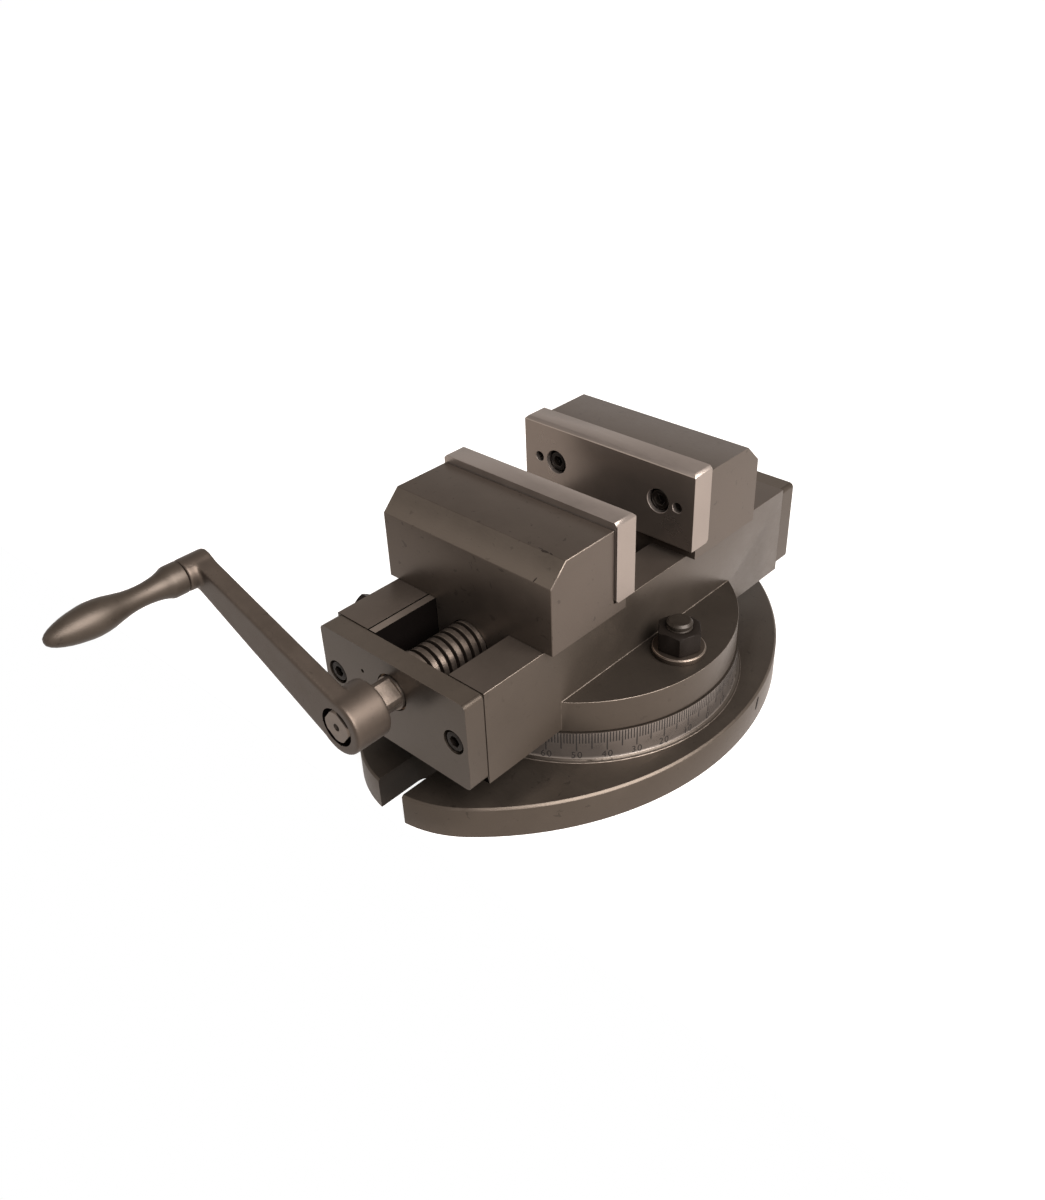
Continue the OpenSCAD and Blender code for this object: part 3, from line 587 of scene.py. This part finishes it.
# End plates: ground steel plates that close the channel and carry the screw in bronze bushes.
# Each is held by two socket cap screws in counterbores, and the plate has an oil hole.
shaft_height = 65.3
shaft_opening = 12
oil_hole = (-18.5, 67.6)
oil_hole_radius = 2
plate_back = body_half_length + 0.38
plate_front = body_half_length + 5
plate_finish = worked_metal("ground_plate", (66, 59, 52), 0.34, grain=0.05, draw=(0.2, 1, 1), relief=0.04,
                            nicks=0.1)
plate_top_light = worked_metal("ground_plate_top_painted_light", (77, 69, 61), 0.4, grain=0.09, draw=(0.2, 1, 1),
                                nicks=0.1)
bronze_finish = worked_metal("bearing_bronze", (84, 64, 44), 0.42, metallic=0.9, cloud=0.16)
for end in ("front", "rear"):
    # The edges of the front face carry a painted highlight, except round the oil hole and the screw's
    # opening.
    plate = eased_copy(
        f"{end}_end_plate", f"{end}_plate", "body", plate_finish, 0.4, edge_highlight,
        shine=lambda p: abs(p.y) > plate_front
        and math.hypot(p.x - oil_hole[0], p.z - oil_hole[1]) > oil_hole_radius
        and math.hypot(p.x, p.z - shaft_height) > shaft_opening)
    # A thin strip round the plate's back, where it meets the body, is painted near black as a shade line.
    paint(plate, shade_black, lambda p, n: abs(p.y) < plate_back and abs(n.y) < facing)
    # The plate's top is painted paler as painted light.
    paint(plate, plate_top_light, lambda p, n: abs(p.y) >= plate_back and n.z > facing)
    eased_copy(f"{end}_bush", f"{end}_bush_turned", "body", bronze_finish, 0.15)
    eased_copy(f"{end}_thrust_washer", f"{end}_thrust_ring", "body", plain_steel, 0.1)
    for side in ("left", "right"):
        eased_copy(f"{end}_plate_screw_{side}", f"{end}_cap_screw_{side}", "body",
                   black_finish, 0.2, stud_finish)

# Screw: a turned bar with a left-hand thread in front and a right-hand one behind, between thrust collars.
# Its front end is milled square for the crank and keeps the lathe's centre hole.
screw_axis = (0, 0, shaft_height)
screw_steps = 96
screw_smooth = math.radians(24)
journal = 8
rear_end, front_end = -118.4, 120.9
rear_ease = 0.6
collar = 12
collar_ease = 0.2
collar_in, collar_out = 104.85, 107.65
square_start, square_end = 120.8, 150.1
square_ease, square_point = 0.9, 1.1
square_flat = 6.5
square_turn = 53
centre_hole = ((1.8, 0), (1.5, -0.5), (0, -2.5))
centre_hole_reach, centre_hole_end = 1.75, -147
thread_crest = 11.2
thread_root = 9.04
thread_pitch = 4.5
thread_turns = 20
thread_steps = 48
thread_start = 13.85
thread_lead = 0.4
threaded_half = 104.8
flank_below = 10.6
thread_section = ((thread_root - 0.3, -0.38), (thread_crest - 0.15, -0.3), (thread_crest, -0.265),
                  (thread_crest, 0.265), (thread_crest - 0.15, 0.3), (thread_root - 0.3, 0.38))
screw_finish = worked_metal("turned_screw", (94, 85, 77), 0.36, metallic=0.85, cloud=0.5, cloud_size=5,
                            grain=0.12)
dents_and_root_shade = worked_metal("dark_dents_and_painted_root_shade", (40, 34, 29), 0.45, metallic=0.6, cloud=0.2)


def from_axis(p):
    """How far a point lies from the screw's axis."""
    return math.hypot(p.x, p.z - shaft_height)


bar = lathe("screw_bar", [
    (0, rear_end), (journal - rear_ease, rear_end), (journal, rear_end + rear_ease), (journal, -collar_out),
    (collar - collar_ease, -collar_out), (collar, collar_ease - collar_out),
    (collar, -collar_in - collar_ease), (collar - collar_ease, -collar_in), (thread_root, -collar_in),
    (thread_root, collar_in), (collar - collar_ease, collar_in), (collar, collar_in + collar_ease),
    (collar, collar_out - collar_ease), (collar - collar_ease, collar_out), (journal, collar_out),
    (journal, front_end), (0, front_end)], screw_axis, (0, -1, 0), screw_steps)
square = lathe("screw_square", [
    (0, square_start), (journal, square_start), (journal, square_end - square_point),
    (journal - square_ease, square_end), *[(radius, square_end + along) for radius, along in centre_hole]],
    screw_axis, (0, -1, 0), screw_steps)
bpy.ops.object.mode_set(mode="EDIT")
for quarter in range(4):
    turn = math.radians(square_turn + 90 * quarter)
    flat_way = Vector((math.cos(turn), 0, math.sin(turn)))
    bpy.ops.mesh.select_all(action="SELECT")
    bpy.ops.mesh.bisect(plane_co=(Vector(screw_axis) + square_flat * flat_way) * MM, plane_no=flat_way,
                        clear_outer=True, use_fill=True)
bpy.ops.object.mode_set(mode="OBJECT")
select_only(bar, square)
bpy.ops.object.join()
bpy.ops.object.shade_smooth_by_angle(angle=screw_smooth)
bar.data.materials.append(screw_finish)
# The core between the threads and the centre hole are painted dark as shade.
paint(bar, dents_and_root_shade, lambda p, n: abs(p.y) < threaded_half
      or p.y < centre_hole_end and from_axis(p) < centre_hole_reach)
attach(bar, "screw")
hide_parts("lead_screw")

for end in ("rear", "front"):
    ridge = bpy.data.meshes.new(f"{end}_thread")
    ridge.from_pydata([(0, share * thread_pitch * MM, radius * MM) for radius, share in thread_section],
                      [(k, (k + 1) % len(thread_section)) for k in range(len(thread_section))], [])
    thread = bpy.data.objects.new(f"{end}_thread", ridge)
    bpy.context.scene.collection.objects.link(thread)
    select_only(thread)
    thread.location = (Vector(screw_axis) + Vector((0, thread_start + thread_lead * thread_pitch, 0))) * MM
    bpy.ops.object.modifier_add(type="SCREW")
    turning = thread.modifiers[-1]
    turning.axis = "Y"
    turning.steps = thread_steps
    turning.render_steps = thread_steps
    turning.screw_offset = thread_pitch * MM
    turning.iterations = thread_turns
    bpy.ops.object.modifier_apply(modifier=turning.name)
    bpy.ops.object.transform_apply(location=True, rotation=True, scale=True)
    bpy.ops.object.mode_set(mode="EDIT")
    bpy.ops.mesh.select_all(action="SELECT")
    bpy.ops.mesh.remove_doubles(threshold=weld)
    bpy.ops.mesh.select_non_manifold(extend=False)
    bpy.ops.mesh.edge_face_add()
    bpy.ops.mesh.select_all(action="SELECT")
    if end == "front":
        bpy.ops.transform.mirror(orient_type="GLOBAL", constraint_axis=(False, True, False),
                                 center_override=(0, 0, 0))
    bpy.ops.mesh.normals_make_consistent(inside=False)
    bpy.ops.object.mode_set(mode="OBJECT")
    bpy.ops.object.shade_smooth_by_angle(angle=screw_smooth)
    thread.data.materials.append(screw_finish)
    # The flanks down in the thread's roots are painted dark as shade.
    paint(thread, dents_and_root_shade, lambda p, n: from_axis(p) <= flank_below)
    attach(thread, "screw")

# Jaws: ground steel blocks that slide on the body and hook below it with keepers; the nuts are bronze.
# The outer upper edge is a broad slope, painted a little paler as painted light; the top ends in a painted
# shade line at the jaw plate, and the jaw's upper end edges and foot edges carry a painted highlight.
jaw_line_out = 34.25
jaw_glint_half = 49.5
jaw_foot = 80
slope_foot = 112
slope_back = 35
slope_lean = (0.6, 0.8)
ledge_height = 90
jaw_finish = worked_metal("ground_jaw", (76, 68, 61), 0.34, grain=0.05, draw=(0.2, 1, 1), relief=0.04,
                          nicks=0.3)
slope_light = worked_metal("jaw_slope_painted_light", (84, 76, 68), 0.4, grain=0.09, draw=(0.2, 1, 1), nicks=0.2)
for end in ("front", "rear"):
    slide = f"{end}_jaw_slide"
    jaw = eased_copy(f"{end}_jaw", f"{end}_jaw_block", slide, jaw_finish, 0.28, edge_highlight,
                     shine=lambda p: p.z > slope_foot and abs(p.x) > jaw_glint_half or p.z < jaw_foot)
    # A strip of the jaw next to the jaw plate is painted near black as a shade line.
    paint(jaw, shade_black,
          lambda p, n: abs(p.y) < jaw_line_out and p.z > ledge_height and abs(n.y) < facing)
    # The slope's faces are painted paler as painted light.
    paint(jaw, slope_light,
          lambda p, n: p.z > slope_foot and abs(p.y) > slope_back and slope_lean[0] < n.z < slope_lean[1]
          and abs(p.x) < 1)
    eased_copy(f"{end}_lead_nut", f"{end}_nut_bronze", slide, bronze_finish, 0.15)
    eased_copy(f"{end}_keeper", f"{end}_keeper_ground", slide, plain_steel, 0.25)
    for side in ("left", "right"):
        eased_copy(f"{end}_keeper_screw_{side}", f"{end}_keeper_cap_{side}", slide,
                   black_finish, 0.2)

for name, spot, turns, half_long, half_wide in (
        ("jaw_dent_ridge", (38.6, -64.5, 123.44), ((22.5, "X"), (4, "Z")), 2.1, 0.5),
        ("jaw_dent_top", (35.8, -63.9, 123.46), (), 1.5, 0.3),
        ("jaw_dent_corner", (41.9, -64.4, 123.44), ((22.5, "X"), (-12, "Z")), 1.0, 0.3),
        ("jaw_dent_slope", (40.7, -73.1, 115.0), ((45, "X"), (70, "Z")), 1.3, 0.35)):
    dent(name, spot, turns, half_long, half_wide, dents_and_root_shade, "front_jaw_slide")
bpy.data.objects.remove(hollow)

# Jaw plates: hardened and ground pale, each held by two socket cap screws in counterbores.
# The two small holes beside the screws are for a stop or another accessory.
grip_side = 22
back_side = 33.75
glint_height = 122
line_below = 126
face_finish = worked_metal("hard_jaw_face", (131, 122, 115), 0.36, metallic=0.85, cloud=0.08, grain=0.08,
                           draw=(0.15, 1, 1))
jaw_face_shade = worked_metal("jaw_face_painted_shade", (112, 102, 94), 0.3, metallic=0.8, cloud=0.04, grain=0.01,
                               draw=(0.15, 1, 1), relief=0.005)
plate_edge_highlight = worked_metal("painted_jaw_plate_highlight", (152, 141, 132), 0.34, metallic=0.85, cloud=0.1)
for end in ("front", "rear"):
    slide = f"{end}_jaw_slide"
    # The plate's upper edges on the gripping side carry a painted highlight.
    plate = eased_copy(f"{end}_jaw_plate", f"{end}_gripping_plate", slide, face_finish, 0.22,
                       plate_edge_highlight, shine=lambda p: abs(p.y) < grip_side and p.z > glint_height)
    # The gripping faces are painted darker as painted shade.
    paint(plate, jaw_face_shade, lambda p, n: abs(n.y) > facing and abs(p.y) < grip_side)
    # A strip round the plate's back, where it meets its jaw, is painted near black as a shade line.
    paint(plate, shade_black, lambda p, n: abs(p.y) > back_side and abs(n.y) < facing and p.z < line_below)
    for side in ("left", "right"):
        eased_copy(f"{end}_jaw_screw_{side}", f"{end}_jaw_cap_{side}", slide, black_finish,
                   0.2, stud_finish)

# Crank: a forging with a hub, a flat tapered arm and a boss, softly rounded where they meet.
# Its front is machined flat, and the hub is broached square and countersunk to fit the screw.
hub_spot = Vector(screw_axis)
hub_radius, hub_arm_radius = 13.4, 12.8
hub_back, hub_front = -131.9, -150
boss_spot = Vector((-90.39, 0, 103.67))
boss_radius, boss_arm_radius = 7.5, 6.9
boss_back, boss_front = -141.3, -155.2
arm_back, arm_front = -141.4, -150
crank_sides = 64
voxel_size = 0.55
smooth_turns = 22
crank_smooth = math.radians(40)
broach_side, broach_length, broach_middle = 13.2, 30, -141
square_hole_reach, square_hole_ends = 9.4, (-149.95, -132.5)
sink_outline = ((0, 149), (8.1, 149), (8.9, 150), (8.9, 151), (0, 151))
crank_finish = worked_metal("forged_crank", (68, 60, 53), 0.47, cloud=0.14, cloud_size=12, grain=0.07,
                            nicks=0.2)


def crank_round(spot, radius, low, high):
    """A round disc or post of the crank, between two places along the screw's axis."""
    select_only()
    bpy.ops.mesh.primitive_cylinder_add(vertices=crank_sides, radius=radius * MM, depth=(low - high) * MM,
                                        location=(spot + Vector((0, (low + high) / 2, 0))) * MM,
                                        rotation=(math.pi / 2, 0, 0))
    return bpy.context.object


hub = crank_round(hub_spot, hub_radius, hub_back, hub_front)
boss = crank_round(boss_spot, boss_radius, boss_back, boss_front)
wide_end = crank_round(hub_spot, hub_arm_radius, arm_back, arm_front)
crank = crank_round(boss_spot, boss_arm_radius, arm_back, arm_front)
crank.name = "crank"
select_only(crank, wide_end)
bpy.ops.object.join()
bpy.ops.object.mode_set(mode="EDIT")
bpy.ops.mesh.select_all(action="SELECT")
bpy.ops.mesh.convex_hull()
bpy.ops.object.mode_set(mode="OBJECT")
select_only(crank, hub, boss)
bpy.ops.object.join()
bpy.ops.object.transform_apply(location=True, rotation=True, scale=True)
bpy.ops.object.modifier_add(type="REMESH")
crank.modifiers[-1].mode = "VOXEL"
crank.modifiers[-1].voxel_size = voxel_size * MM
bpy.ops.object.modifier_apply(modifier=crank.modifiers[-1].name)
bpy.ops.object.modifier_add(type="SMOOTH")
crank.modifiers[-1].factor = 0.5
crank.modifiers[-1].iterations = smooth_turns
bpy.ops.object.modifier_apply(modifier=crank.modifiers[-1].name)
select_only()
bpy.ops.mesh.primitive_cube_add(size=1)
broach = bpy.context.object
broach.name = "broach"
broach.data.transform(
    Matrix.Translation(Vector((0, broach_middle, shaft_height)) * MM)
    @ Matrix.Rotation(math.radians(-square_turn), 4, "Y")
    @ Matrix.Diagonal((broach_side * MM, broach_length * MM, broach_side * MM, 1)))
countersink = lathe("countersink", sink_outline, hub_spot, (0, -1, 0))
select_only(crank)
for tool in (broach, countersink):
    bpy.ops.object.modifier_add(type="BOOLEAN")
    crank.modifiers[-1].object = tool
    crank.modifiers[-1].operation = "DIFFERENCE"
    bpy.ops.object.modifier_apply(modifier=crank.modifiers[-1].name)
    bpy.data.objects.remove(tool)
bpy.ops.object.shade_smooth_by_angle(angle=crank_smooth)
crank.data.materials.clear()
crank.data.materials.append(crank_finish)
# The square hole and its countersink are painted near black as shade.
paint(crank, shade_black, lambda p, n: from_axis(p) < square_hole_reach
      and square_hole_ends[0] < p.y < square_hole_ends[1])
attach(crank, "crank")
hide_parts("crank_arm")
eased_copy("grip_spindle", "grip_pin", "crank", plain_steel, 0.1)

# Handle: turned and polished steel, free to spin on its pin, with a waist and a pear-shaped end.
# A fine seam shows where it meets the boss.
handle_start = 155.4
grip_finish = worked_metal("polished_handle", (58, 51, 44), 0.44, metallic=0.6, cloud=0.14, cloud_size=10,
                           grain=0.07, nicks=0.25)
stations = [(0, 0), (6.9, 0), (7.4, 0.5), (7.4, 6), (7.2, 7), (6.3, 9), (5.6, 11.5), (5.2, 14), (4.87, 17),
            (4.75, 20), (4.9, 23.5), (5.3, 27), (6.15, 31), (7.05, 35), (7.55, 38.5), (7.75, 42), (7.6, 45),
            (7.2, 48), (6.75, 51), (6.1, 54), (5.2, 57), (4.2, 59.6), (3.1, 61.6), (1.8, 63), (0, 63.6)]
handle = lathe("handle", [(radius, handle_start + along) for radius, along in stations],
               boss_spot, (0, -1, 0))
handle.data.materials.append(grip_finish)
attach(handle, "grip")
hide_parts("handle_grip")
